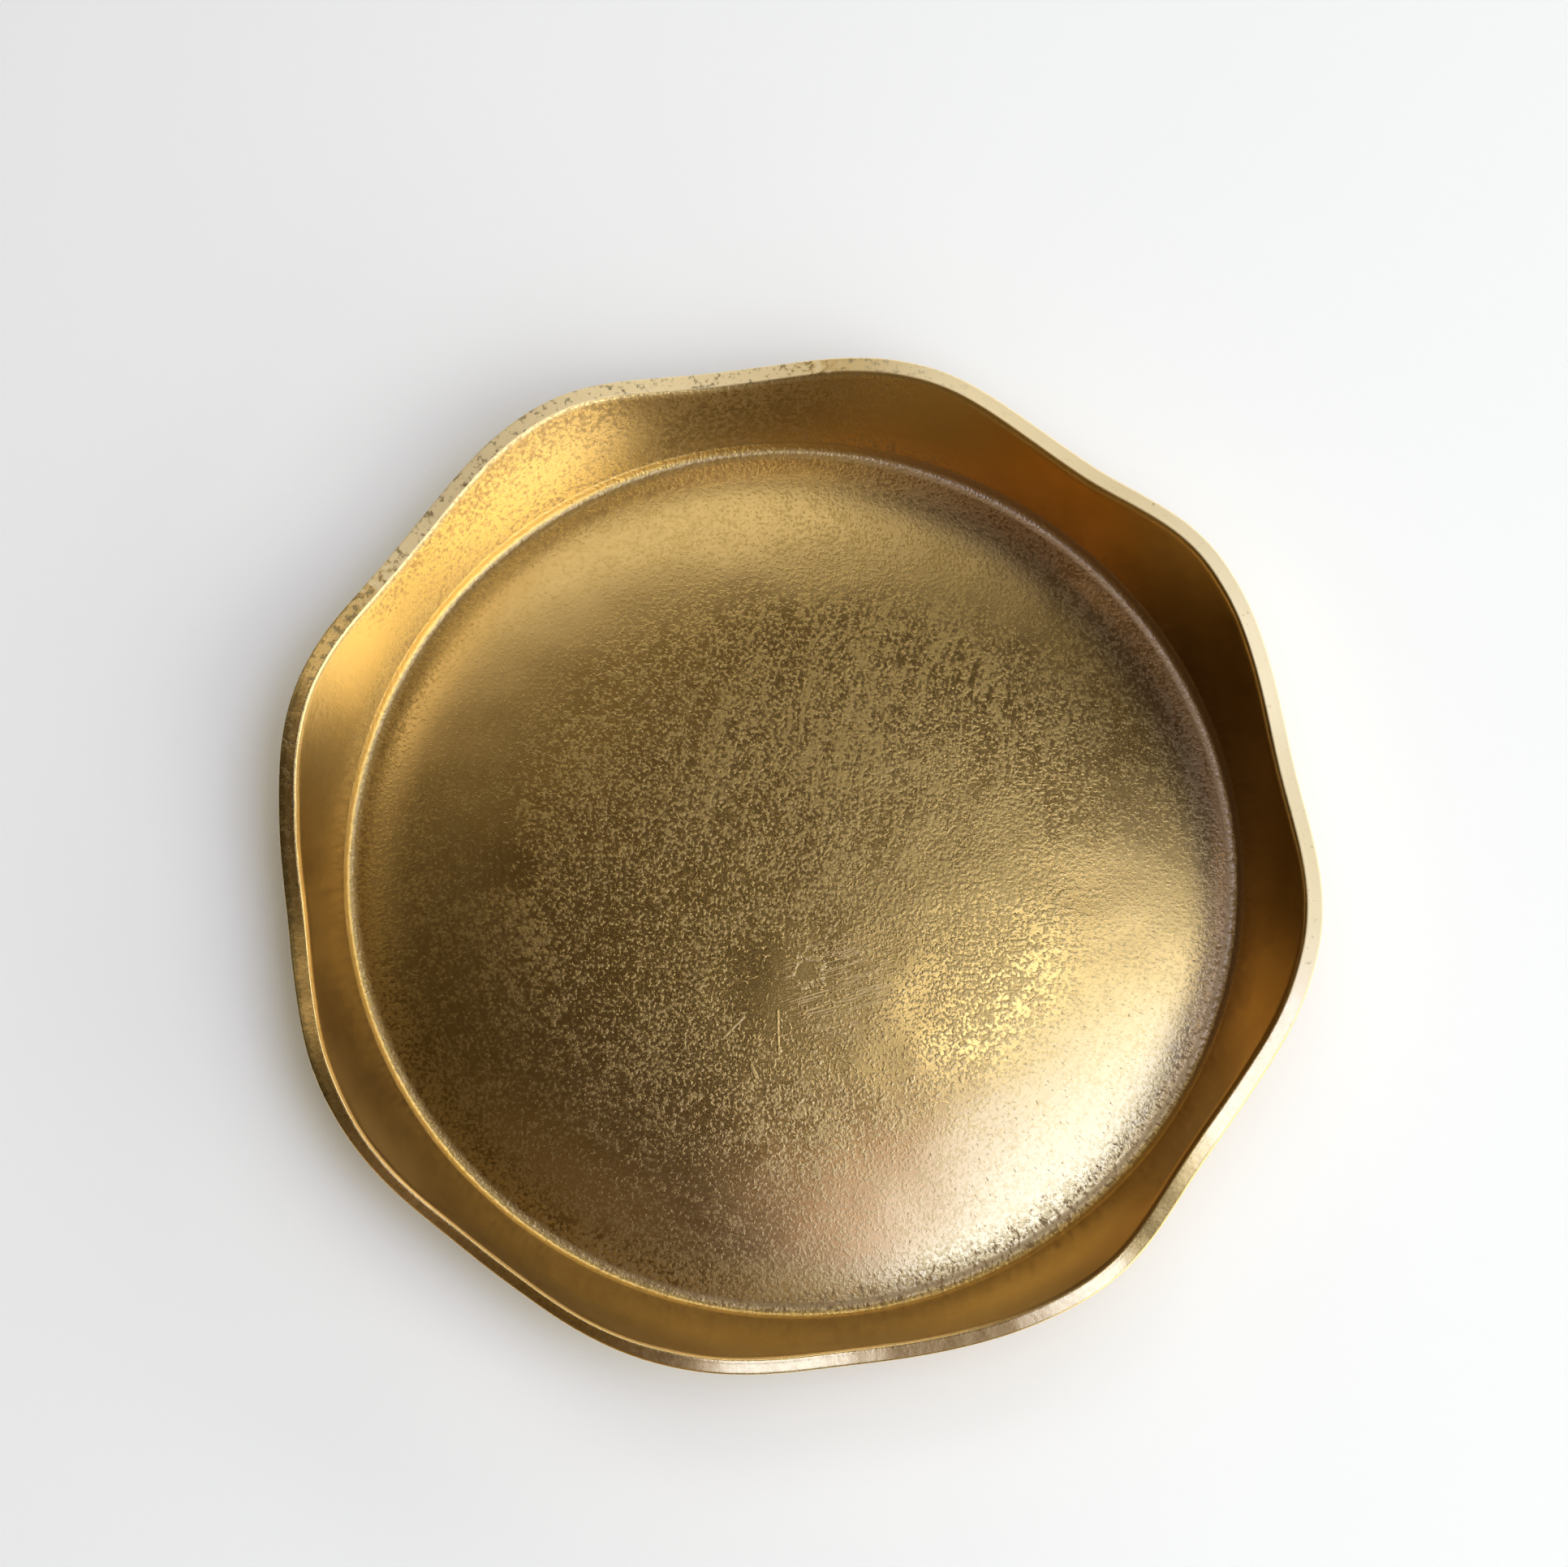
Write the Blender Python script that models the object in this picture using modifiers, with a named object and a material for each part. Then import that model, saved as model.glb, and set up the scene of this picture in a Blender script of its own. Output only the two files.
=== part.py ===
"""Round cast brass tray with a wavy flared wall, a rounded lip and four felt foot pads.

Metres, +Z up. The origin is on the table, under the middle of the tray.
"""

import math

import bmesh
import bpy

# Driving sizes of the casting
RIM_RADIUS = 0.150          # mean radius of the lip's outer line
FOOT_RADIUS = 0.1315        # where the inside of the wall meets the floor
TRAY_DEPTH = 0.027          # from the floor's edge to the mean top of the lip
FLOOR_THICKNESS = 0.005     # floor inside the standing ring
FLOOR_CROWN = 0.0055        # rise of the floor's middle over its edge
CROWN_POWER = 4.5           # how late the crown falls away: 2 is a plain parabola
GUTTER_WIDTH = 0.0055       # shallow gutter round the floor, inside the foot of the wall
GUTTER_DROP = 0.0005        # depth of that gutter under the floor's edge
WALL_THICKNESS = 0.004      # wall at its root, measured level
LIP_THICKNESS = 0.0045      # full round lip, measured level
FOOT_FILLET = 0.0045        # length of the rounding between floor and wall, along each
BASE_ROUNDING = 0.004       # length of the rounding between underside and outer wall
ROUNDING_LIMIT = 0.9        # largest share of a side that a rounding may take
RING_INSET = 0.004          # standing ring's outer edge, inside the foot of the wall
RING_MARGIN = 0.0015        # bare ring left on each side of a foot pad
WAVE_FADE = 1.5             # how fast the rim's wave dies away down the wall: 1 is a straight line

# Rim wave: direction in degrees and reach of the lip past RIM_RADIUS there, trough and crest in turn.
# The rim was formed by hand, so no two of the eight lobes are alike.
RIM_WAVE = (
    (11.0, -0.0029),
    (35.0, 0.0026),
    (54.5, -0.0028),
    (77.0, 0.0021),
    (98.0, -0.0021),
    (120.0, 0.0033),
    (142.0, -0.0019),
    (163.0, 0.0025),
    (188.0, -0.0025),
    (211.0, 0.0020),
    (231.0, -0.0022),
    (257.0, 0.0024),
    (277.0, -0.0021),
    (303.0, 0.0020),
    (324.0, -0.0041),
    (350.0, 0.0019),
)
RIM_LIFT = 1.0              # rise of the lip for each metre of its reach: crests stand higher than troughs

# Foot pads
PAD_COUNT = 4
PAD_DIAMETER = 0.012
PAD_THICKNESS = 0.003
PAD_EDGE = 0.0006           # rounding of the felt's cut edges
PAD_TURN = math.radians(45)  # direction of the first pad
ADHESIVE_GAP = 0.0003       # room for the adhesive film between pad and brass

# Facets
TURN_STEPS = 120
ROUNDING_STEPS = 4
WALL_STEPS = 4
FLOOR_STEPS = 10
HOLLOW_STEPS = 4
PAD_SIDES = 32
PAD_EDGE_STEPS = 2
MERGE = 0.00001

# Heights and radii that follow from the sizes above
UNDERSIDE = PAD_THICKNESS + ADHESIVE_GAP
CROWN_RADIUS = FOOT_RADIUS - GUTTER_WIDTH
RING_OUTER = FOOT_RADIUS - RING_INSET
RING_INNER = RING_OUTER - PAD_DIAMETER - 2 * RING_MARGIN
PAD_CIRCLE = (RING_OUTER + RING_INNER) / 2


def crown(radius):
    """Rise of the floor over its edge at this radius."""
    return FLOOR_CROWN * (1 - (radius / CROWN_RADIUS) ** CROWN_POWER)


FLOOR_EDGE = UNDERSIDE + FLOOR_THICKNESS - crown(RING_INNER)
FOOT = FLOOR_EDGE - GUTTER_DROP
LIP_TOP = FLOOR_EDGE + TRAY_DEPTH
LIP_CENTRE = LIP_TOP - LIP_THICKNESS / 2


def rim_wave(angle):
    """Reach of the lip past its mean radius in this direction, on smooth half waves between crests and troughs."""
    turn = 2 * math.pi
    ends = [(math.radians(degrees), reach) for degrees, reach in RIM_WAVE]
    ends.append((ends[0][0] + turn, ends[0][1]))
    angle = ends[0][0] + (angle - ends[0][0]) % turn
    for (start, first), (stop, last) in zip(ends, ends[1:]):
        if angle <= stop:
            share = (angle - start) / (stop - start)
            return first + (last - first) * (1 - math.cos(math.pi * share)) / 2
    return ends[-1][1]


def wave_share(height):
    """Share of the rim's wave that the wall has at this height: none at its foot, all at the lip."""
    up = (height - FOOT) / (LIP_CENTRE - FOOT)
    return min(max(up, 0.0), 1.0) ** WAVE_FADE


def between(start, stop, steps):
    """Points on the straight line from start to stop, without its two ends."""
    shares = [step / steps for step in range(1, steps)]
    return [tuple(a + (b - a) * share for a, b in zip(start, stop)) for share in shares]


def rounding(before, corner, after, length):
    """Curve round a corner of the outline that leaves and meets its two sides at this length from the corner."""

    def towards(other):
        share = min(length / math.dist(corner, other), ROUNDING_LIMIT)
        return tuple(a + (b - a) * share for a, b in zip(corner, other))

    start, stop = towards(before), towards(after)
    curve = []
    for step in range(ROUNDING_STEPS + 1):
        share = step / ROUNDING_STEPS
        weights = ((1 - share) ** 2, 2 * share * (1 - share), share**2)
        curve.append(tuple(sum(w * p for w, p in zip(weights, points)) for points in zip(start, corner, stop)))
    return curve


def casting_outline():
    """Half section of the casting: out along the floor, up the wall, over the lip and back underneath."""
    floor_edge = (CROWN_RADIUS, FLOOR_EDGE)
    foot = (FOOT_RADIUS, FOOT)
    lip_inner = (RIM_RADIUS - LIP_THICKNESS, LIP_CENTRE)
    lip_outer = (RIM_RADIUS, LIP_CENTRE)
    base_corner = (FOOT_RADIUS + WALL_THICKNESS, UNDERSIDE)
    ring_outer = (RING_OUTER, UNDERSIDE)

    outline = []
    for step in range(FLOOR_STEPS + 1):
        radius = CROWN_RADIUS * math.sqrt(step / FLOOR_STEPS)
        outline.append((radius, FLOOR_EDGE + crown(radius)))
    fillet = rounding(floor_edge, foot, lip_inner, FOOT_FILLET)
    outline += fillet
    outline += between(fillet[-1], lip_inner, WALL_STEPS)
    lip_steps = 2 * ROUNDING_STEPS
    lip_middle = RIM_RADIUS - LIP_THICKNESS / 2
    for step in range(lip_steps + 1):
        angle = math.pi * (1 - step / lip_steps)
        reach = LIP_THICKNESS / 2
        outline.append((lip_middle + reach * math.cos(angle), LIP_CENTRE + reach * math.sin(angle)))
    base = rounding(lip_outer, base_corner, ring_outer, BASE_ROUNDING)
    outline += between(lip_outer, base[0], WALL_STEPS)
    outline += base
    for step in range(HOLLOW_STEPS + 1):
        radius = RING_INNER * (1 - step / HOLLOW_STEPS)
        outline.append((radius, UNDERSIDE + crown(radius) - crown(RING_INNER)))
    return outline


def brass():
    material = bpy.data.materials.new("brass")
    material.use_nodes = True
    surface = material.node_tree.nodes["Principled BSDF"]
    surface.inputs["Base Color"].default_value = (0.62, 0.42, 0.15, 1.0)
    surface.inputs["Metallic"].default_value = 1.0
    surface.inputs["Roughness"].default_value = 0.38
    return material


def felt():
    material = bpy.data.materials.new("felt")
    material.use_nodes = True
    surface = material.node_tree.nodes["Principled BSDF"]
    surface.inputs["Base Color"].default_value = (0.045, 0.032, 0.024, 1.0)
    surface.inputs["Roughness"].default_value = 0.95
    return material


def tray_casting(collection, parent, material):
    """Spins the half section round the tray's axis, then presses the wave into the wall and lip."""
    mesh = bpy.data.meshes.new("tray_casting")
    work = bmesh.new()
    points = [work.verts.new((radius, 0, height)) for radius, height in casting_outline()]
    edges = [work.edges.new(pair) for pair in zip(points, points[1:])]
    bmesh.ops.spin(
        work,
        geom=points + edges,
        cent=(0, 0, 0),
        axis=(0, 0, 1),
        angle=2 * math.pi,
        steps=TURN_STEPS,
        use_merge=True,
    )
    bmesh.ops.remove_doubles(work, verts=work.verts, dist=MERGE)
    bmesh.ops.recalc_face_normals(work, faces=work.faces)
    for point in work.verts:
        angle = math.atan2(point.co.y, point.co.x)
        reach = rim_wave(angle) * wave_share(point.co.z)
        point.co.x += reach * math.cos(angle)
        point.co.y += reach * math.sin(angle)
        point.co.z += RIM_LIFT * reach
    work.to_mesh(mesh)
    work.free()
    mesh.shade_smooth()
    mesh.materials.append(material)
    casting = bpy.data.objects.new("tray_casting", mesh)
    casting.parent = parent
    collection.objects.link(casting)


def foot_pads(collection, parent, material):
    """Felt discs on the flat standing ring under the floor, spread evenly round it."""
    mesh = bpy.data.meshes.new("foot_pad")
    work = bmesh.new()
    bmesh.ops.create_cone(
        work,
        cap_ends=True,
        segments=PAD_SIDES,
        radius1=PAD_DIAMETER / 2,
        radius2=PAD_DIAMETER / 2,
        depth=PAD_THICKNESS,
    )
    work.to_mesh(mesh)
    work.free()
    mesh.shade_smooth()
    mesh.materials.append(material)
    for index in range(PAD_COUNT):
        angle = PAD_TURN + 2 * math.pi * index / PAD_COUNT
        pad = bpy.data.objects.new(f"foot_pad_{index + 1}", mesh)
        pad.location = (PAD_CIRCLE * math.cos(angle), PAD_CIRCLE * math.sin(angle), PAD_THICKNESS / 2)
        pad.parent = parent
        rounded = pad.modifiers.new("cut edges", "BEVEL")
        rounded.width = PAD_EDGE
        rounded.segments = PAD_EDGE_STEPS
        collection.objects.link(pad)


for old in list(bpy.data.objects):
    bpy.data.objects.remove(old)
tray = bpy.data.collections.new("brass_tray")
bpy.context.scene.collection.children.link(tray)
table_point = bpy.data.objects.new("table_point", None)
tray.objects.link(table_point)
tray_casting(tray, table_point, brass())
foot_pads(tray, table_point, felt())
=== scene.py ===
import math

import bmesh
import bpy
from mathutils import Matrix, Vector, noise


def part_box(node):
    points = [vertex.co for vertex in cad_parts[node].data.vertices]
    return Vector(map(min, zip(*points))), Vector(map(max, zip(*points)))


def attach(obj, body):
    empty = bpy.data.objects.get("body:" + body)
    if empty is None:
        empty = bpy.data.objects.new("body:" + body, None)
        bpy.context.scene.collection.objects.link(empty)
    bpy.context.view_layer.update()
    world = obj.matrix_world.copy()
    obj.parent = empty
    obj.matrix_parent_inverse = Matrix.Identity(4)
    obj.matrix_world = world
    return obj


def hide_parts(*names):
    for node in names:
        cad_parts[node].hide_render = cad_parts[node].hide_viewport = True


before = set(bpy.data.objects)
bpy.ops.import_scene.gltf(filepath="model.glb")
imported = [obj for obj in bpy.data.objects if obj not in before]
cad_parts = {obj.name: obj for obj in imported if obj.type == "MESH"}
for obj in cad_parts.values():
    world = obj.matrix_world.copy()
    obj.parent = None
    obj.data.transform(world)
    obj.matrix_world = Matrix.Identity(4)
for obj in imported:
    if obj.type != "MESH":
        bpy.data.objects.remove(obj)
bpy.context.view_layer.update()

# Tray casting. Floor, flared wall and lip are one sand casting of brass, pressed into eight uneven lobes by
# hand. The crowned floor is half buffed, so that matt sand grain shows between patches of polished metal; the
# wall is brushed round the tray, its foot is left as cast, and the lip is burnished.
RIM_RADIUS = 0.150
FOOT_RADIUS = 0.1315
TRAY_DEPTH = 0.027
FLOOR_THICKNESS = 0.005
FLOOR_CROWN = 0.0055
CROWN_POWER = 4.5
GUTTER_WIDTH = 0.0055
GUTTER_DROP = 0.0005
ROLL_START = 0.114
EDGE_ROLL = 0.0006
FLOOR_REACH = 0.1305
FOOT_OVERRUN = 0.0005
WALL_THICKNESS = 0.004
LIP_THICKNESS = 0.0045
LIP_TURN = 0.0028
LIP_BEVEL = 0.0006
LIP_REACH = 0.0009
LIP_FALL = 0.0007
LIP_ROUNDING = 0.0010
FOOT_FILLET = 0.0020
BASE_ROUNDING = 0.004
RING_INNER = 0.1125
WAVE_FADE = 1.5
RIM_LIFT = 1.0
# Direction in degrees and reach of the lip past its mean radius there, trough and crest in turn.
RIM_WAVE = (
    (11.0, -0.0029),
    (35.0, 0.0026),
    (54.5, -0.0028),
    (77.0, 0.0021),
    (98.0, -0.0021),
    (120.0, 0.0033),
    (142.0, -0.0019),
    (163.0, 0.0025),
    (188.0, -0.0025),
    (211.0, 0.0020),
    (231.0, -0.0022),
    (257.0, 0.0024),
    (277.0, -0.0021),
    (303.0, 0.0020),
    (324.0, -0.0041),
    (350.0, 0.0019),
)
CROWN_RADIUS = FOOT_RADIUS - GUTTER_WIDTH
SECTORS = 8
SECTOR_STEPS = 56
FLOOR_RINGS = 122
GUTTER_RINGS = 10
WALL_RINGS = 21
BEVEL_RINGS = 9
LIP_RINGS = 8
OUTSIDE_RINGS = 12
STANDING_RINGS = 4
HOLLOW_RINGS = 10
MERGE = 0.00001


def smooth_step(low, high, value):
    share = min(max((value - low) / (high - low), 0.0), 1.0)
    return share * share * (3 - 2 * share)


def crown(radius):
    return FLOOR_CROWN * (1 - (radius / CROWN_RADIUS) ** CROWN_POWER)


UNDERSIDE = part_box("tray_casting")[0].z
FLOOR_EDGE = UNDERSIDE + FLOOR_THICKNESS - crown(RING_INNER)
FOOT = FLOOR_EDGE - GUTTER_DROP
LIP_TOP = FLOOR_EDGE + TRAY_DEPTH
LIP_CENTRE = LIP_TOP - LIP_THICKNESS / 2


def floor_height(radius):
    roll = max(radius - ROLL_START, 0.0) / (FLOOR_REACH - ROLL_START)
    return FLOOR_EDGE + crown(radius) - EDGE_ROLL * roll**2


def rim_wave(angle):
    degrees = RIM_WAVE[0][0] + (math.degrees(angle) - RIM_WAVE[0][0]) % 360
    ends = RIM_WAVE + ((RIM_WAVE[0][0] + 360, RIM_WAVE[0][1]),)
    for (start, first), (stop, last) in zip(ends, ends[1:]):
        if degrees <= stop:
            share = (degrees - start) / (stop - start)
            return first + (last - first) * (1 - math.cos(math.pi * share)) / 2
    return ends[-1][1]


def wave_share(height):
    up = (height - FOOT) / (LIP_CENTRE - FOOT)
    return min(max(up, 0.0), 1.0) ** WAVE_FADE


def straight(start, stop, steps):
    shares = [step / steps for step in range(1, steps)]
    return [tuple(a + (b - a) * share for a, b in zip(start, stop)) for share in shares]


def bend(start, corner, stop, steps):
    curve = []
    for step in range(steps + 1):
        share = step / steps
        weights = ((1 - share) ** 2, 2 * share * (1 - share), share**2)
        columns = zip(start, corner, stop)
        curve.append(tuple(sum(w * p for w, p in zip(weights, column)) for column in columns))
    return curve


def rounding(before, corner, after, lead, trail, steps):
    def towards(other, length):
        share = length / math.dist(corner, other)
        return tuple(a + (b - a) * share for a, b in zip(corner, other))

    return bend(towards(before, lead), corner, towards(after, trail), steps)


def casting_stretches():
    floor_edge = (FLOOR_REACH - FOOT_FILLET, floor_height(FLOOR_REACH - FOOT_FILLET))
    foot = (FOOT_RADIUS, floor_height(FLOOR_REACH + FOOT_OVERRUN))
    lip_inner = (RIM_RADIUS - LIP_THICKNESS, LIP_TOP)
    lip_outer = (RIM_RADIUS + LIP_REACH, LIP_TOP - LIP_FALL)
    base_corner = (FOOT_RADIUS + WALL_THICKNESS, UNDERSIDE)
    ring_inner = (RING_INNER, UNDERSIDE)
    floor = []
    for step in range(FLOOR_RINGS + 1):
        radius = floor_edge[0] * step / FLOOR_RINGS
        floor.append((radius, floor_height(radius)))
    gutter = rounding(floor_edge, foot, lip_inner, FOOT_FILLET, FOOT_FILLET, GUTTER_RINGS)
    bevel = rounding(foot, lip_inner, lip_outer, LIP_TURN, LIP_BEVEL, BEVEL_RINGS)
    wall = straight(gutter[-1], bevel[0], WALL_RINGS)
    rolled = rounding(lip_inner, lip_outer, base_corner, LIP_ROUNDING, LIP_ROUNDING, LIP_RINGS)
    lip = straight(bevel[-1], rolled[0], LIP_RINGS) + rolled
    base = rounding(lip_outer, base_corner, ring_inner, BASE_ROUNDING, BASE_ROUNDING, GUTTER_RINGS)
    outside = straight(lip[-1], base[0], OUTSIDE_RINGS) + base
    underside = straight(base[-1], ring_inner, STANDING_RINGS)
    for step in range(HOLLOW_RINGS + 1):
        radius = RING_INNER * (1 - step / HOLLOW_RINGS)
        underside.append((radius, UNDERSIDE + crown(radius) - crown(RING_INNER)))
    return floor, gutter, wall, bevel, lip, outside, underside


# Each point of the section keeps its distance along it, so that the finishes can follow the section.
work = bmesh.new()
along_layer = work.verts.layers.float.new("along")
section = []
starts = []
travelled = 0.0
for stretch in casting_stretches():
    for number, (radius, height) in enumerate(stretch):
        point = work.verts.new((radius, 0, height))
        if section:
            travelled += (point.co - section[-1].co).length
        if number == 0:
            starts.append(travelled)
        point[along_layer] = travelled
        section.append(point)
AT_GUTTER, AT_WALL, AT_TURN, AT_LIP, AT_OUTSIDE, AT_UNDERSIDE = starts[1:]
edges = [work.edges.new(pair) for pair in zip(section, section[1:])]
sector = 2 * math.pi / SECTORS
axis = {"cent": (0, 0, 0), "axis": (0, 0, 1)}
bmesh.ops.spin(work, geom=section + edges, angle=sector, steps=SECTOR_STEPS, **axis)
everything = work.verts[:] + work.edges[:] + work.faces[:]
bmesh.ops.spin(
    work, geom=everything, angle=2 * math.pi - sector, steps=SECTORS - 1, use_duplicate=True, **axis
)
bmesh.ops.remove_doubles(work, verts=work.verts, dist=MERGE)
bmesh.ops.recalc_face_normals(work, faces=work.faces)

# Hand work: the wave of the wall and lip, and the faint swells left by grinding and filing.
FLOOR_SWELLS = ((0.00012, 22), (0.00005, 70))
SWELLS_FADE = (0.110, 0.126)
WALL_RIPPLE = 0.0004
NEAR_SIDE = (-0.22, -0.97)
LIP_THINNED = 0.0013
THIN_CORNER = math.radians(232)
CORNER_THINNED = 0.0014
FILED_WAVE = 0.00020
FILED_CHATTER = 0.00007
for point in work.verts:
    angle = math.atan2(point.co.y, point.co.x)
    away = Vector((math.cos(angle), math.sin(angle), 0))
    travel = point[along_layer]
    up = wave_share(point.co.z)
    if travel < AT_GUTTER:
        flat = Vector((point.co.x, point.co.y, 0))
        swell = sum(rise * noise.noise(flat * per_metre) for rise, per_metre in FLOOR_SWELLS)
        point.co.z += swell * (1 - smooth_step(*SWELLS_FADE, flat.length))
    elif travel < AT_UNDERSIDE:
        ripple = WALL_RIPPLE * noise.noise(away * 5.0 + Vector((0, 0, point.co.z * 30)))
        near = NEAR_SIDE[0] * math.cos(angle) + NEAR_SIDE[1] * math.sin(angle)
        thinned = LIP_THINNED * smooth_step(0.35, 0.85, near)
        thinned += CORNER_THINNED * smooth_step(0.90, 0.99, math.cos(angle - THIN_CORNER))
        over_lip = min(max((travel - AT_LIP) / (AT_OUTSIDE - AT_LIP), 0.0), 1.0)
        filed = FILED_WAVE * (noise.noise(away * 9.0) - 1) + FILED_CHATTER * noise.noise(away * 36.0)
        point.co.z += filed * smooth_step(AT_TURN, AT_LIP, travel)
        wave = rim_wave(angle) * up
        point.co += away * (wave + (ripple + thinned * (1 - over_lip)) * up)
        point.co.z += RIM_LIFT * wave


def put_in_scene(name, work):
    mesh = bpy.data.meshes.new(name)
    work.to_mesh(mesh)
    work.free()
    mesh.shade_smooth()
    piece = bpy.data.objects.new(name, mesh)
    bpy.context.scene.collection.objects.link(piece)
    return piece


brass_casting = put_in_scene("brass_casting", work)


# The finishes. Each helper adds nodes to the tree of the material at hand.
def add_node(tree, kind, inputs=None, **settings):
    made = tree.nodes.new(kind)
    for name, value in settings.items():
        setattr(made, name, value)
    for socket, value in (inputs or {}).items():
        if isinstance(value, bpy.types.NodeSocket):
            tree.links.new(value, made.inputs[socket])
        else:
            made.inputs[socket].default_value = value
    return made


def start_material(name):
    made = bpy.data.materials.new(name)
    made.use_nodes = True
    place = add_node(made.node_tree, "ShaderNodeTexCoord").outputs["Object"]
    return made, made.node_tree, made.node_tree.nodes["Principled BSDF"], place


brass, tree, metal, place = start_material("half_buffed_brass")
along = add_node(tree, "ShaderNodeAttribute", attribute_name="along").outputs["Fac"]


def arith(operation, *values):
    return add_node(tree, "ShaderNodeMath", dict(enumerate(values)), operation=operation).outputs[0]


def times(first, *others):
    for other in others:
        first = arith("MULTIPLY", first, other)
    return first


def summed(base, *parts):
    for mask, amount in parts:
        base = arith("MULTIPLY_ADD", mask, amount, base)
    return base


def vector_math(operation, *values, output="Vector"):
    made = add_node(tree, "ShaderNodeVectorMath", dict(enumerate(values)), operation=operation)
    return made.outputs[output]


def measure(operation, *values):
    return vector_math(operation, *values, output="Value")


def ramp(value, low, high, start=0.0, stop=1.0):
    inputs = {"Value": value, "From Min": low, "From Max": high, "To Min": start, "To Max": stop}
    made = add_node(tree, "ShaderNodeMapRange", inputs, interpolation_type="SMOOTHSTEP")
    return made.outputs["Result"]


def fade(value, low, high):
    return ramp(value, low, high, 1.0, 0.0)


def ridge(value, middle, full, reach):
    return fade(arith("ABSOLUTE", arith("SUBTRACT", value, middle)), full, reach)


def mottle(where, per_metre=1.0, detail=2.0, roughness=0.5, distortion=0.0):
    inputs = {"Vector": where, "Scale": per_metre, "Detail": detail}
    inputs |= {"Roughness": roughness, "Distortion": distortion}
    return add_node(tree, "ShaderNodeTexNoise", inputs).outputs["Fac"]


def mix_value(share, first, second):
    return add_node(tree, "ShaderNodeMix", {0: share, 2: first, 3: second}).outputs[0]


def mix_colour(share, first, second):
    made = add_node(tree, "ShaderNodeMix", {0: share, 6: first, 7: second}, data_type="RGBA")
    return made.outputs[2]


def add_bump(height, surface):
    bump = add_node(tree, "ShaderNodeBump", {"Height": height, "Strength": 1.0, "Distance": 0.001})
    tree.links.new(bump.outputs["Normal"], surface.inputs["Normal"])


level = vector_math("MULTIPLY", place, (1, 1, 0))
radius = measure("LENGTH", level)
outward = vector_math("NORMALIZE", level)


def band(start, stop, soft):
    return times(ramp(along, start - soft, start + soft), fade(along, stop - soft, stop + soft))


def turned(around, up):
    ringwise = vector_math("SCALE", outward)
    ringwise.node.inputs["Scale"].default_value = around
    lift = add_node(tree, "ShaderNodeCombineXYZ", {"Z": arith("MULTIPLY", along, up)}).outputs[0]
    return vector_math("ADD", ringwise, lift)


def drawn_out(across, lengthwise, bent=None):
    beside = measure("DOT_PRODUCT", level, across)
    if bent:
        beside = summed(beside, (mottle(place, 14.0), bent))
    onward = measure("DOT_PRODUCT", level, lengthwise)
    return mottle(add_node(tree, "ShaderNodeCombineXYZ", {"X": beside, "Y": onward}).outputs[0])


def facing(degrees):
    direction = (math.cos(math.radians(degrees)), math.sin(math.radians(degrees)), 0)
    return measure("DOT_PRODUCT", outward, direction)


def side(degrees, half_width):
    edge = math.cos(math.radians(half_width))
    return ramp(facing(degrees), edge - 0.15 * (1 - edge) - 0.05, 1.0 - 0.4 * (1 - edge))


def spot(x, y, reach):
    return fade(measure("DISTANCE", level, (x, y, 0)), 0.4 * reach, reach)


def nick(start, stop, width):
    length = math.dist(start, stop)
    run = ((stop[0] - start[0]) / length, (stop[1] - start[1]) / length, 0)
    off = vector_math("SUBTRACT", level, (*start, 0))
    onward = measure("DOT_PRODUCT", off, run)
    beside = arith("ABSOLUTE", measure("DOT_PRODUCT", off, (-run[1], run[0], 0)))
    inside = times(ramp(onward, -width, width), fade(onward, length - width, length + width))
    return times(inside, fade(beside, 0.3 * width, width))


WALL_INSET = 0.0003
LIP_INSET = 0.0007
gutter = band(AT_GUTTER - WALL_INSET, AT_WALL + WALL_INSET, 0.0008)
wall = band(AT_WALL + WALL_INSET, AT_LIP - LIP_INSET, 0.0008)
lip = band(AT_LIP - LIP_INSET, AT_OUTSIDE, 0.0005)
outside = ramp(along, AT_OUTSIDE, AT_OUTSIDE + 0.001)
upper_left = side(120.0, 60.0)

# Floor. Buffing took the sand grain off the falling edge, most of it on two sides, and left it thickest at
# the foot. Metal that flowed in from the gate left long ridges, and a riser left a ring of grain near the
# middle. Use has scratched and nicked the metal beside that ring.
POLISHED = (0.86, 0.62, 0.26, 1.0)
SANDY = (0.84, 0.60, 0.215, 1.0)
PINKISH = (0.60, 0.44, 0.27, 1.0)
BUFFED_WAY = -40.0
BUFFED_FROM = (0.074, 0.102)
BUFFED_TO = (0.116, 0.127)
EDGE_START = 0.106
EDGE_WIDTH = 0.016
FLOW_SPOT = (0.026, 0.045, 0.085)
BEADED_SPOT = (0.014, -0.046, 0.040)
SCRATCHED_SPOT = (0.0125, -0.0370, 0.021)
SMOOTH_SPOTS = ((-0.0102, -0.0334, 0.018), (-0.092, 0.004, 0.020), (0.016, -0.042, 0.038))
RISER = (0.0033, -0.0321, 0)
RISER_RADIUS = 0.0074
RISER_WANDER = 0.007
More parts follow.
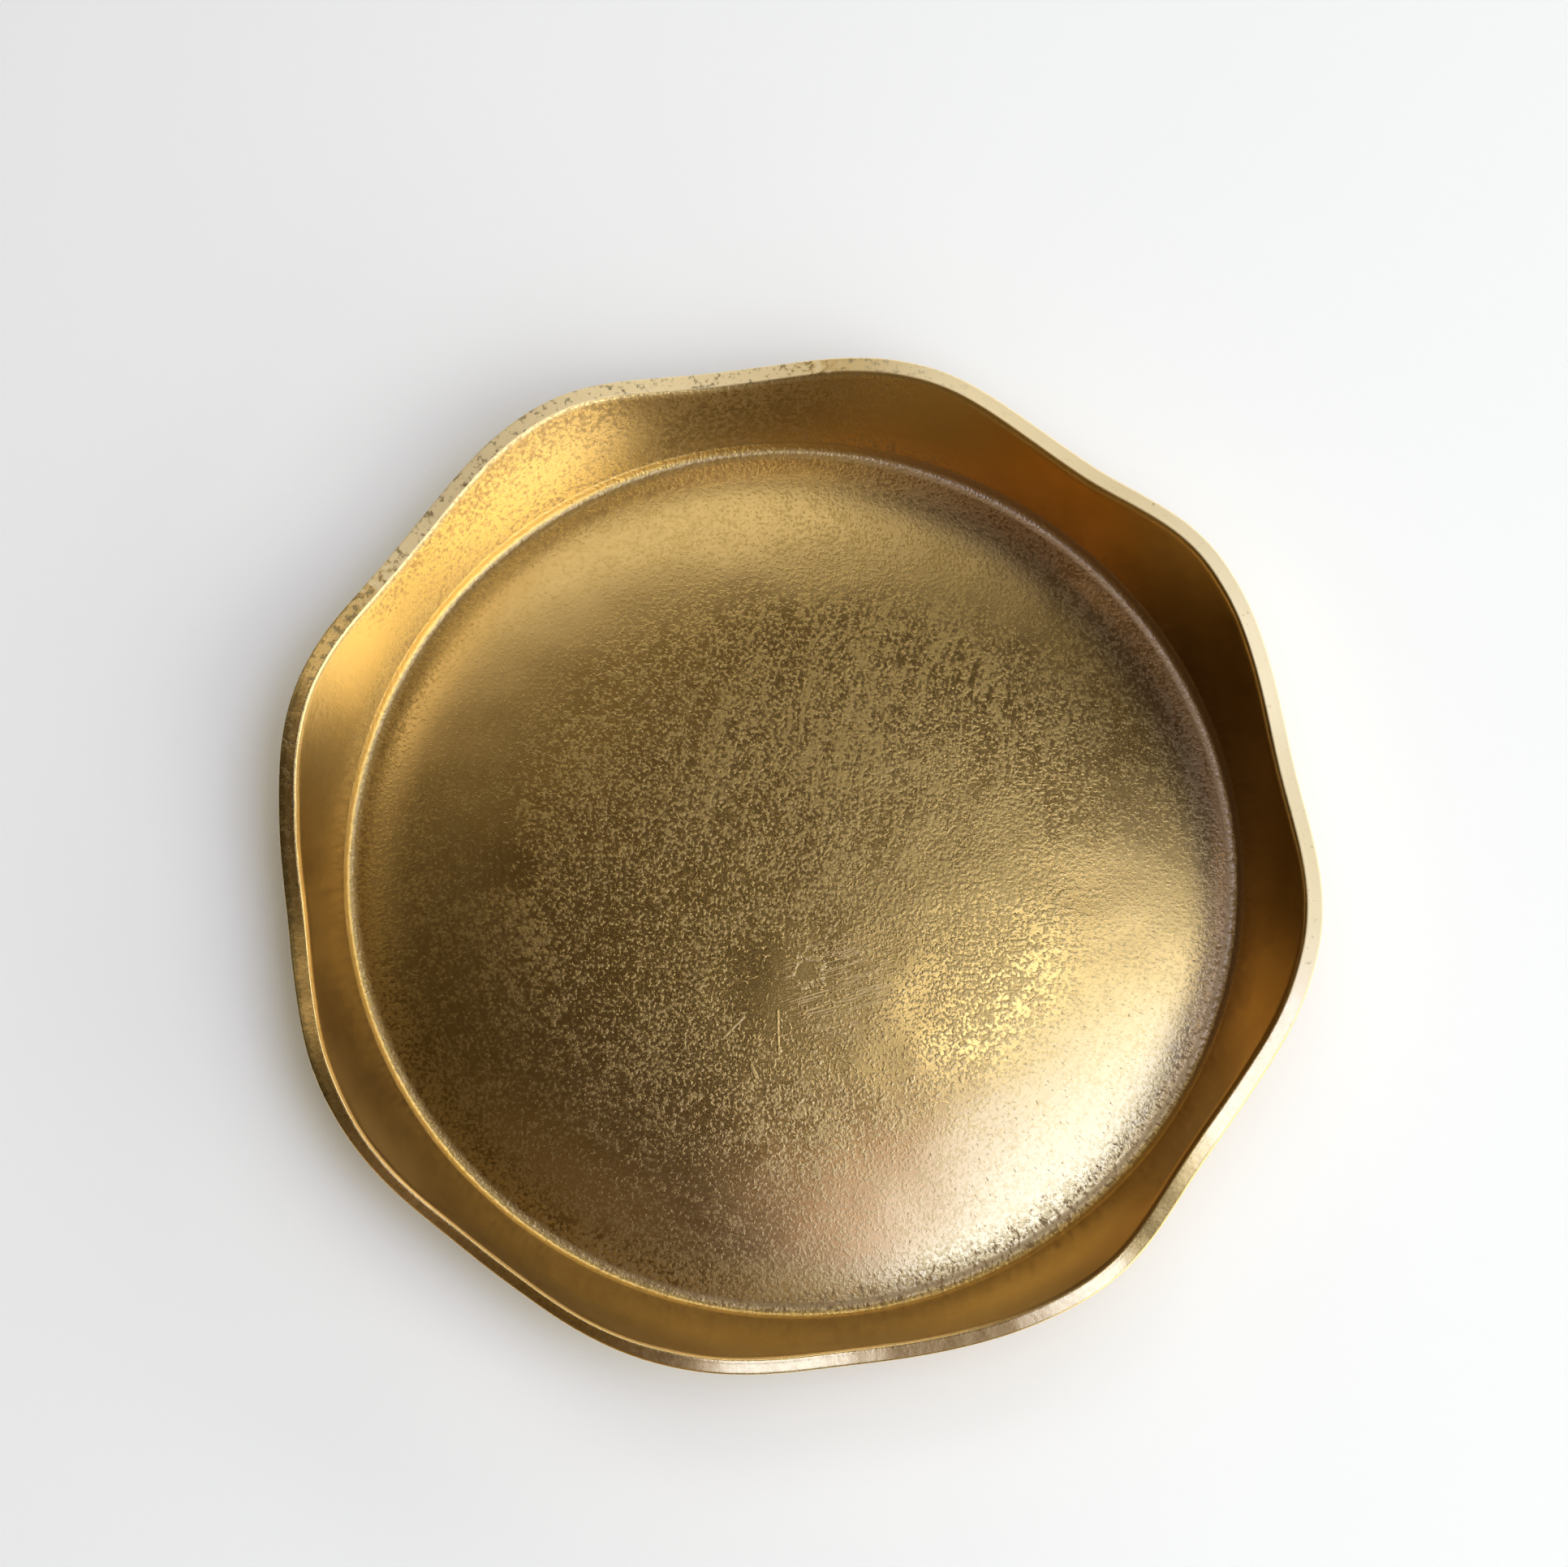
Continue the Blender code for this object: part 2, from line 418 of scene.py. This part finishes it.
# Start, end, half width and strength of each nick.
NICKS = (
    ((-0.0212, -0.0525), (-0.0151, -0.0460), 0.0005, 1.0),
    ((-0.0132, -0.0603), (-0.0113, -0.0645), 0.0007, 1.0),
    ((-0.0054, -0.0442), (-0.0052, -0.0574), 0.0005, 0.7),
    ((-0.0890, 0.0238), (-0.0691, 0.0578), 0.0003, 0.35),
    ((-0.0936, 0.0189), (-0.0774, 0.0451), 0.0003, 0.25),
)
CLUSTERED = 0.40
GRAIN_LIMIT = 0.690
GRAIN_SOFT = 0.14
patches = mottle(place, 26.0)
grains = mottle(place, 880.0, roughness=0.60)
clusters = mottle(place, 250.0, roughness=0.55)
grain = summed(arith("SUBTRACT", grains, CLUSTERED / 2), (clusters, CLUSTERED))
fine = mottle(place, 1600.0, roughness=0.6)
relief = mottle(place, 430.0, detail=3.0, roughness=0.55, distortion=0.6)
strokes = mottle(turned(14.0, 1400.0), detail=3.0, roughness=0.6)
flow = drawn_out((165.0, -60.0, 0), (4.8, 13.0, 0), bent=5.0)
flow_ridge = times(ridge(flow, 0.5, 0.005, 0.035), spot(*FLOW_SPOT))
buffed_side = arith("POWER", facing(BUFFED_WAY), 2.0)
buffed_ring = times(ramp(radius, *BUFFED_FROM), fade(radius, *BUFFED_TO))
buffed = times(buffed_ring, summed(0.25, (buffed_side, 0.75)))
edge_start = summed(EDGE_START, (buffed_side, 0.012))
at_edge = ramp(arith("SUBTRACT", radius, edge_start), 0.0, EDGE_WIDTH)
at_edge = times(at_edge, summed(1.0, (side(135.0, 50.0), -0.7)))
riser_off = summed(measure("DISTANCE", level, RISER), (clusters, RISER_WANDER))
riser_ring = ridge(riser_off, RISER_RADIUS, 0.0004, 0.0017)
riser_inside = fade(riser_off, 0.0052, 0.0070)
beads = times(ramp(mottle(place, 260.0, detail=1.0), 0.66, 0.76), spot(*BEADED_SPOT))
# Where this limit is lower, more of the grain is left.
limit = summed(GRAIN_LIMIT, (patches, -0.30), (buffed, 0.04), (at_edge, -0.10), (flow_ridge, -0.12))
limit = summed(limit, *((spot(*smooth), 0.10) for smooth in SMOOTH_SPOTS))
limit = summed(limit, (riser_ring, -0.19), (riser_inside, 0.24), (beads, -0.16))
sandy = ramp(arith("SUBTRACT", grain, limit), -GRAIN_SOFT, GRAIN_SOFT)
sandy = times(sandy, summed(1.0, (buffed, -0.40)))
scratches = ramp(drawn_out((-560.0, 1880.0, 0), (58.0, 17.0, 0)), 0.53, 0.66)
scratches = times(scratches, spot(*SCRATCHED_SPOT), ramp(riser_off, 0.0078, 0.0096))
for start, stop, width, strength in NICKS:
    scratches = arith("MAXIMUM", scratches, times(nick(start, stop, width), strength))
sandy = arith("MAXIMUM", sandy, scratches)
smooth_rough = summed(0.12, (strokes, 0.10), (buffed, 0.06))
floor_rough = mix_value(sandy, smooth_rough, summed(0.20, (fine, 0.18)))
raised = summed(times(fine, 0.03), (arith("SUBTRACT", grains, 0.5), 0.075))
raised = summed(raised, (arith("MAXIMUM", riser_ring, beads), 0.060))
floor_bump = times(sandy, raised, summed(1.0, (buffed, -0.6)))
floor_bump = summed(floor_bump, (times(relief, buffed_ring), 0.008), (fine, 0.003))
floor_bump = summed(floor_bump, (times(strokes, buffed_ring), 0.006), (scratches, 0.014))

# Foot. The gutter between floor and wall kept its cast skin, which is rougher than the floor. Dark tarnish
# sits in it, most at the lower right, and runs out onto the floor in short streaks.
TARNISHED = (0.42, 0.27, 0.10, 1.0)
TARNISH_REACH = 0.012
TARNISH_ROUGH = 0.50
GUTTER_ROUGH = 0.34
rays = mottle(turned(140.0, 600.0), detail=3.0, roughness=0.65)
near_gutter = ramp(along, AT_GUTTER - TARNISH_REACH, AT_GUTTER + 0.001)
tarnish = ramp(summed(rays, (near_gutter, 0.17)), 0.62, 0.76)
tarnish = times(tarnish, summed(0.3, (side(-50.0, 75.0), 0.7)))
tarnish = times(tarnish, fade(along, AT_GUTTER + 0.001, AT_GUTTER + 0.003))
groove = band(AT_GUTTER - 0.0014, AT_GUTTER + 0.0002, 0.0006)
tarnish = arith("MAXIMUM", tarnish, times(groove, side(-40.0, 80.0), 0.7))
pinkish = times(at_edge, side(25.0, 60.0), fade(along, AT_WALL, AT_WALL + 0.002))
skin = mottle(place, 700.0, detail=3.0, roughness=0.7)
gutter_height = times(skin, 0.30)

# Wall. Brushed round the tray after casting, so fine streaks follow it. Pits of the sand mould are left in
# it, most of them upper left and near the foot. The brass is amber except at the bottom and upper left, with
# dark amber clouds.
# Painted shade: dark amber on the right and, less, on the left. Painted light: a paler gold on the upper
# left. The bottom is painted duller, most near the lip.
AMBER = (0.85, 0.52, 0.17, 1.0)
CLOUDED_AND_SHADED_AMBER = (0.44, 0.275, 0.10, 1.0)
DULL = (0.44, 0.33, 0.20, 1.0)
PAINTED_LIGHT_GOLD = (0.91, 0.75, 0.43, 1.0)
PITTED = (0.56, 0.40, 0.20, 1.0)
PIT_ROUGH = 0.42
streaks = mottle(turned(9.0, 1500.0), detail=3.0, roughness=0.6)
wall_skin = mottle(place, 560.0, detail=4.0, roughness=0.7)
clouds = mottle(place, 70.0, detail=3.0, roughness=0.6)
near_lip = ramp(along, AT_LIP - 0.016, AT_LIP - 0.004)
near_foot = fade(along, AT_WALL, AT_WALL + 0.010)
pit_cover = times(summed(0.4, (near_lip, 0.6)), side(115.0, 36.0))
pit_cover = arith("MAXIMUM", pit_cover, times(near_foot, upper_left, 0.6))
pit_field = mottle(place, 720.0, detail=3.0, roughness=0.65)
pit_field = summed(pit_field, (fine, 0.20), (clouds, 0.15), (pit_cover, 0.12))
pits = times(ramp(pit_field, 0.70, 0.94), ramp(pit_cover, 0.0, 0.5))
wall_rough = mix_value(pits, summed(0.21, (streaks, 0.08)), PIT_ROUGH)
wall_height = times(wall_skin, summed(0.015, (side(120.0, 70.0), 0.035)))
wall_height = summed(wall_height, (streaks, 0.004), (pits, -0.025))
amber = summed(0.65, (side(265.0, 65.0), -0.50), (upper_left, -0.55))
# The bottom of the wall is painted a duller, darker brown, most near the lip.
darker_at_bottom = times(side(268.0, 75.0), summed(0.45, (near_lip, 0.35)))
clouded = times(ramp(clouds, 0.42, 0.66), summed(0.22, (upper_left, -0.22)))
# Painted shade: dark amber on the right of the wall and, less, on the left. The dark amber clouds added to it
# are the brass's own.
clouds_and_shade = arith("MAXIMUM", times(side(188.0, 48.0), 0.35), times(side(-8.0, 48.0), 0.85))
clouds_and_shade = arith("ADD", clouded, clouds_and_shade)
# Painted light: the upper left of the wall, which faces the window, is painted a paler gold.
painted_light = times(side(122.0, 55.0), 0.6)

# Lip. Filed level and burnished by hand, which left file marks and chatter on its inner edge. At the upper
# left and left it kept its cast skin, and its outer side at the left is darkened by painted shade. At the
# right and upper right a pale, matt cream is painted on as a painted highlight.
WORN = (0.95, 0.71, 0.33, 1.0)
PAINTED_CREAM_HIGHLIGHT = (0.88, 0.74, 0.46, 1.0)
PAINTED_PALE_HIGHLIGHT = (0.95, 0.82, 0.54, 1.0)
CAST_SKIN = (0.88, 0.72, 0.42, 1.0)
SPECK = (0.46, 0.37, 0.21, 1.0)
OLIVE = (0.56, 0.44, 0.20, 1.0)
MATT_SHARE = -0.6
lip_skin = mottle(place, 430.0, detail=4.0, roughness=0.7)
lip_cast = ramp(summed(lip_skin, (side(118.0, 34.0), 0.45)), 0.72, 0.92)
# Painted shade: the outer side of the lip at the left is painted darker olive, on top of the dark mottles
# scattered in its skin.
left_outer_shade = times(side(184.0, 26.0), ramp(along, AT_LIP + 0.0015, AT_LIP + 0.0030))
dark_skin_and_shade = ramp(summed(lip_skin, (left_outer_shade, 0.28)), 0.62, 0.74)
# Painted highlight: the lip at the right and upper right is painted pale cream and made partly matt, in place
# of the bright light it reflects.
pale_highlight = side(14.0, 30.0)
cream_highlight = arith("MAXIMUM", side(54.0, 28.0), pale_highlight)
specks = times(fade(lip_skin, 0.36, 0.46), side(130.0, 62.0))
lip_rough = summed(0.19, (wall_skin, 0.16), (lip_cast, 0.24), (cream_highlight, 0.20))
chatter = mottle(place, 850.0, roughness=0.6)
chatter = times(chatter, band(AT_LIP - 0.0010, AT_LIP + 0.0003, 0.0005))
lip_height = summed(times(clouds, 0.14), (lip_skin, 0.05), (chatter, 0.05), (specks, -0.03))
matt_skin_and_highlight = times(lip, arith("MAXIMUM", cream_highlight, lip_cast))

# Outside and underside. Left as they came from the sand and only wire brushed, so their skin is matt and
# uneven, with dull patches.
outside_rough = summed(0.32, (skin, 0.18))
outside_height = summed(times(clouds, 0.20), (skin, 0.16))
outside_dull = times(outside, ramp(arith("ADD", clouds, skin), 0.85, 1.20, 0.10, 0.65))

roughness = mix_value(gutter, floor_rough, GUTTER_ROUGH)
roughness = mix_value(tarnish, roughness, TARNISH_ROUGH)
height = mix_value(gutter, floor_bump, gutter_height)
for zone, zone_rough, zone_height in (
    (wall, wall_rough, wall_height),
    (lip, lip_rough, lip_height),
    (outside, outside_rough, outside_height),
):
    roughness = mix_value(zone, roughness, zone_rough)
    height = mix_value(zone, height, zone_height)
colour = mix_colour(sandy, POLISHED, SANDY)
for share, tint in (
    (pinkish, PINKISH),
    (tarnish, TARNISHED),
    (times(wall, amber), AMBER),
    (times(wall, darker_at_bottom), DULL),
    (times(wall, clouds_and_shade), CLOUDED_AND_SHADED_AMBER),
    (times(wall, painted_light), PAINTED_LIGHT_GOLD),
    (times(wall, pits), PITTED),
    (times(lip, 0.7), WORN),
    (times(lip, lip_cast, 0.8), CAST_SKIN),
    (times(lip, cream_highlight, 0.8), PAINTED_CREAM_HIGHLIGHT),
    (times(lip, pale_highlight, 0.8), PAINTED_PALE_HIGHLIGHT),
    (times(lip, specks), SPECK),
    (times(lip, dark_skin_and_shade), OLIVE),
    (outside_dull, DULL),
):
    colour = mix_colour(share, colour, tint)
tree.links.new(roughness, metal.inputs["Roughness"])
tree.links.new(colour, metal.inputs["Base Color"])
tree.links.new(summed(1.0, (matt_skin_and_highlight, MATT_SHARE)), metal.inputs["Metallic"])
add_bump(height, metal)
brass_casting.data.materials.append(brass)
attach(brass_casting, "root")
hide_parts("tray_casting")

# Foot pads. Discs of pressed wool felt, punched from sheet and stuck under the standing ring, so that the
# brass doesn't scratch the table.
DARK_WOOL = (0.026, 0.018, 0.013, 1.0)
LIGHT_WOOL = (0.066, 0.048, 0.036, 1.0)
PAD_RADIUS = 0.006
PAD_EDGE = 0.0006
PAD_SIDES = 64
PAD_RINGS = 5
RING_WIDTH = 0.0009
SQUEEZED = 0.01
FUZZ = 0.00005
FUZZ_PER_METRE = 900
felt, tree, wool, place = start_material("pressed_wool")
fibres = mottle(place, 1500.0, detail=4.0, roughness=0.7, distortion=1.5)
tufts = mottle(place, 420.0)
tree.links.new(mix_colour(fibres, DARK_WOOL, LIGHT_WOOL), wool.inputs["Base Color"])
wool.inputs["Roughness"].default_value = 0.95
wool.inputs["Sheen Weight"].default_value = 0.3
add_bump(summed(times(tufts, 0.10), (fibres, 0.12)), wool)
for number in range(1, 5):
    low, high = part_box(f"foot_pad_{number}")
    centre = (low + high) / 2
    size = high - low
    work = bmesh.new()
    bmesh.ops.create_cone(
        work, cap_ends=True, segments=PAD_SIDES, radius1=size.x / 2, radius2=size.x / 2, depth=size.z
    )
    caps = [face for face in work.faces if len(face.verts) == PAD_SIDES]
    rims = [edge for face in caps for edge in face.edges]
    bmesh.ops.bevel(
        work, geom=rims, offset=PAD_EDGE, segments=3, profile=0.5, affect="EDGES", material=-1
    )
    caps = [face for face in work.faces if len(face.verts) == PAD_SIDES]
    for ring in range(PAD_RINGS):
        bmesh.ops.inset_region(work, faces=caps, thickness=RING_WIDTH, use_even_offset=True)
    bmesh.ops.poke(work, faces=caps)
    bmesh.ops.recalc_face_normals(work, faces=work.faces)
    for point in work.verts:
        fuzz = noise.noise((point.co + centre) * FUZZ_PER_METRE) * FUZZ
        point.co *= 1 - SQUEEZED + fuzz / PAD_RADIUS
        point.co += centre
    pad = put_in_scene(f"felt_pad_{number}", work)
    pad.data.materials.append(felt)
    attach(pad, "root")
    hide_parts(f"foot_pad_{number}")

# Table. A plain pale board under the tray. Far off, where the lamps don't reach, it keeps its pale colour, as
# a background does.
TABLE_HALF = 8.0
BOARD = (0.885, 0.90, 0.895, 1.0)
FAR_BOARD = (0.93, 0.935, 0.94, 1.0)
FAR_OFF = (1.4, 2.4)
work = bmesh.new()
bmesh.ops.create_grid(work, x_segments=1, y_segments=1, size=TABLE_HALF)
table = put_in_scene("table", work)
white, tree, board, place = start_material("pale_table")
board.inputs["Base Color"].default_value = BOARD
board.inputs["Roughness"].default_value = 0.8
board.inputs["Specular IOR Level"].default_value = 0.2
far_off = ramp(measure("LENGTH", place), *FAR_OFF)
rays = add_node(tree, "ShaderNodeLightPath").outputs
shown = arith("MAXIMUM", rays["Is Camera Ray"], rays["Is Glossy Ray"])
shown = arith("MAXIMUM", shown, rays["Is Transmission Ray"])
glow = add_node(tree, "ShaderNodeEmission", {"Color": FAR_BOARD})
faded = {0: times(far_off, shown), 1: board.outputs[0], 2: glow.outputs[0]}
whole = add_node(tree, "ShaderNodeMixShader", faded)
tree.links.new(whole.outputs[0], tree.nodes["Material Output"].inputs["Surface"])
white.cycles.emission_sampling = "NONE"
table.data.materials.append(white)

# Light. A large soft window over the right side, which continues low at the lower right; pale cards beside
# and behind it; the bright right and far sides of the room; and dim warm cards and a warm room elsewhere.
# Three soft lamps bring the table to its level and don't show in the metal.
ROOM = (0.042, 0.027, 0.006, 1.0)
DAYLIGHT = (0.40, 0.51, 1.0)
CLOUD = (1.0, 1.0, 0.95)
BEIGE = (1.0, 0.95, 0.85)
BROWN = (1.0, 0.75, 0.42)
PINK = (1.0, 0.64, 0.40)
DAY_WHITE = (0.985, 1.0, 0.965)
AMBER_WHITE = (1.0, 0.82, 0.58)
AMBER_CARD = (1.0, 0.55, 0.14)
TRAY = (0, 0, 0.01)
CEILING = 4.0
world = bpy.data.worlds.new("room")
bpy.context.scene.world = world
world.use_nodes = True
world.node_tree.nodes["Background"].inputs["Color"].default_value = ROOM


def panel(name, middle, size, radiance, colour, aim=None, turn=0.0, in_metal=True):
    lamp = bpy.data.lights.new(name, "AREA")
    lamp.shape = "RECTANGLE"
    lamp.size, lamp.size_y = size
    lamp.color = colour
    lamp.energy = radiance * math.pi * lamp.size * lamp.size_y
    hung = bpy.data.objects.new(name, lamp)
    hung.location = middle
    if aim:
        hung.rotation_euler = (Vector(aim) - Vector(middle)).to_track_quat("-Z", "Y").to_euler()
    else:
        hung.rotation_euler = (0, 0, math.radians(turn))
    hung.visible_camera = False
    hung.visible_glossy = in_metal
    bpy.context.scene.collection.objects.link(hung)


# An overhead lamp's four edges are given for each metre of its height.
def overhead(name, left, right, near, far, radiance, colour, turn=0.0, height=CEILING, in_metal=True):
    middle = (height * (left + right) / 2, height * (near + far) / 2, height)
    size = (height * (right - left), height * (far - near))
    panel(name, middle, size, radiance, colour, turn=turn, in_metal=in_metal)


for card in (
    ("window", 0.158, 0.58, -0.40, 0.070, 3.8, DAYLIGHT, 4.0),
    ("upper_pane", 0.100, 0.22, 0.12, 0.205, 3.5, CLOUD),
    ("right_pane", 0.24, 0.68, 0.06, 0.21, 1.7, CLOUD),
    ("side_card", 0.070, 0.158, -0.25, 0.05, 0.78, AMBER_CARD, 4.0),
    ("back_card", -0.36, 0.10, 0.52, 0.90, 0.95, BEIGE),
    ("far_card", 0.10, 0.31, 0.52, 0.77, 0.42, BEIGE),
    ("near_card", -0.02, 0.20, -0.80, -0.27, 0.34, AMBER_WHITE),
    ("left_top_card", -0.32, -0.02, 0.29, 0.50, 0.12, BROWN),
    ("left_edge_card", -0.80, -0.46, 0.16, 0.42, 0.13, AMBER_WHITE),
    ("low_left_card", -0.32, -0.10, -0.26, -0.02, 0.08, PINK),
    ("left_back_card", -0.95, -0.38, 0.45, 1.05, 0.85, AMBER_WHITE),
):
    overhead(*card)
for standing in (
    ("low_window", (2.70, -1.50, 2.45), (2.9, 1.5), 2.4, CLOUD),
    ("right_wall", (2.7, -1.5, 0.75), (5.0, 1.2), 2.4, CLOUD),
    ("corner_wall", (2.5, 1.7, 0.75), (2.2, 1.2), 2.4, CLOUD),
    ("far_wall", (0.7, 3.0, 0.85), (3.2, 1.2), 2.0, CLOUD),
    ("near_wall", (-1.5, -2.5, 0.9), (3.6, 0.9), 0.11, BROWN),
    ("left_card", (-1.2, -2.1, 2.6), (2.6, 1.4), 0.34, AMBER_CARD),
):
    panel(*standing, aim=TRAY)
overhead("table_lamp", 0.10, 0.70, -0.85, -0.30, 2.75, DAY_WHITE, height=1.4, in_metal=False)
overhead("table_fill", -0.4, 0.8, -0.5, 1.0, 0.95, DAY_WHITE, height=1.1, in_metal=False)
overhead("near_fill", -0.2, 1.0, -1.9, -0.8, 0.9, DAY_WHITE, height=1.1, in_metal=False)

# Camera. Almost straight above, from the near side of the table, with a lens a little longer than normal. Its
# place and tilt were solved on the outlines of rim and floor together.
LENS = 79.73
SENSOR = 36.0
STANDS = (-0.0361, -0.2431, 0.9977 + FLOOR_EDGE)
TILT = math.radians(15.065)
LEAN = math.radians(-1.880)
camera_data = bpy.data.cameras.new("camera")
camera_data.sensor_width = SENSOR
camera_data.lens = LENS
camera = bpy.data.objects.new("camera", camera_data)
camera.location = STANDS
camera.rotation_euler = (TILT, LEAN, 0)
bpy.context.scene.collection.objects.link(camera)
bpy.context.scene.camera = camera
bpy.context.scene.view_settings.view_transform = "Standard"
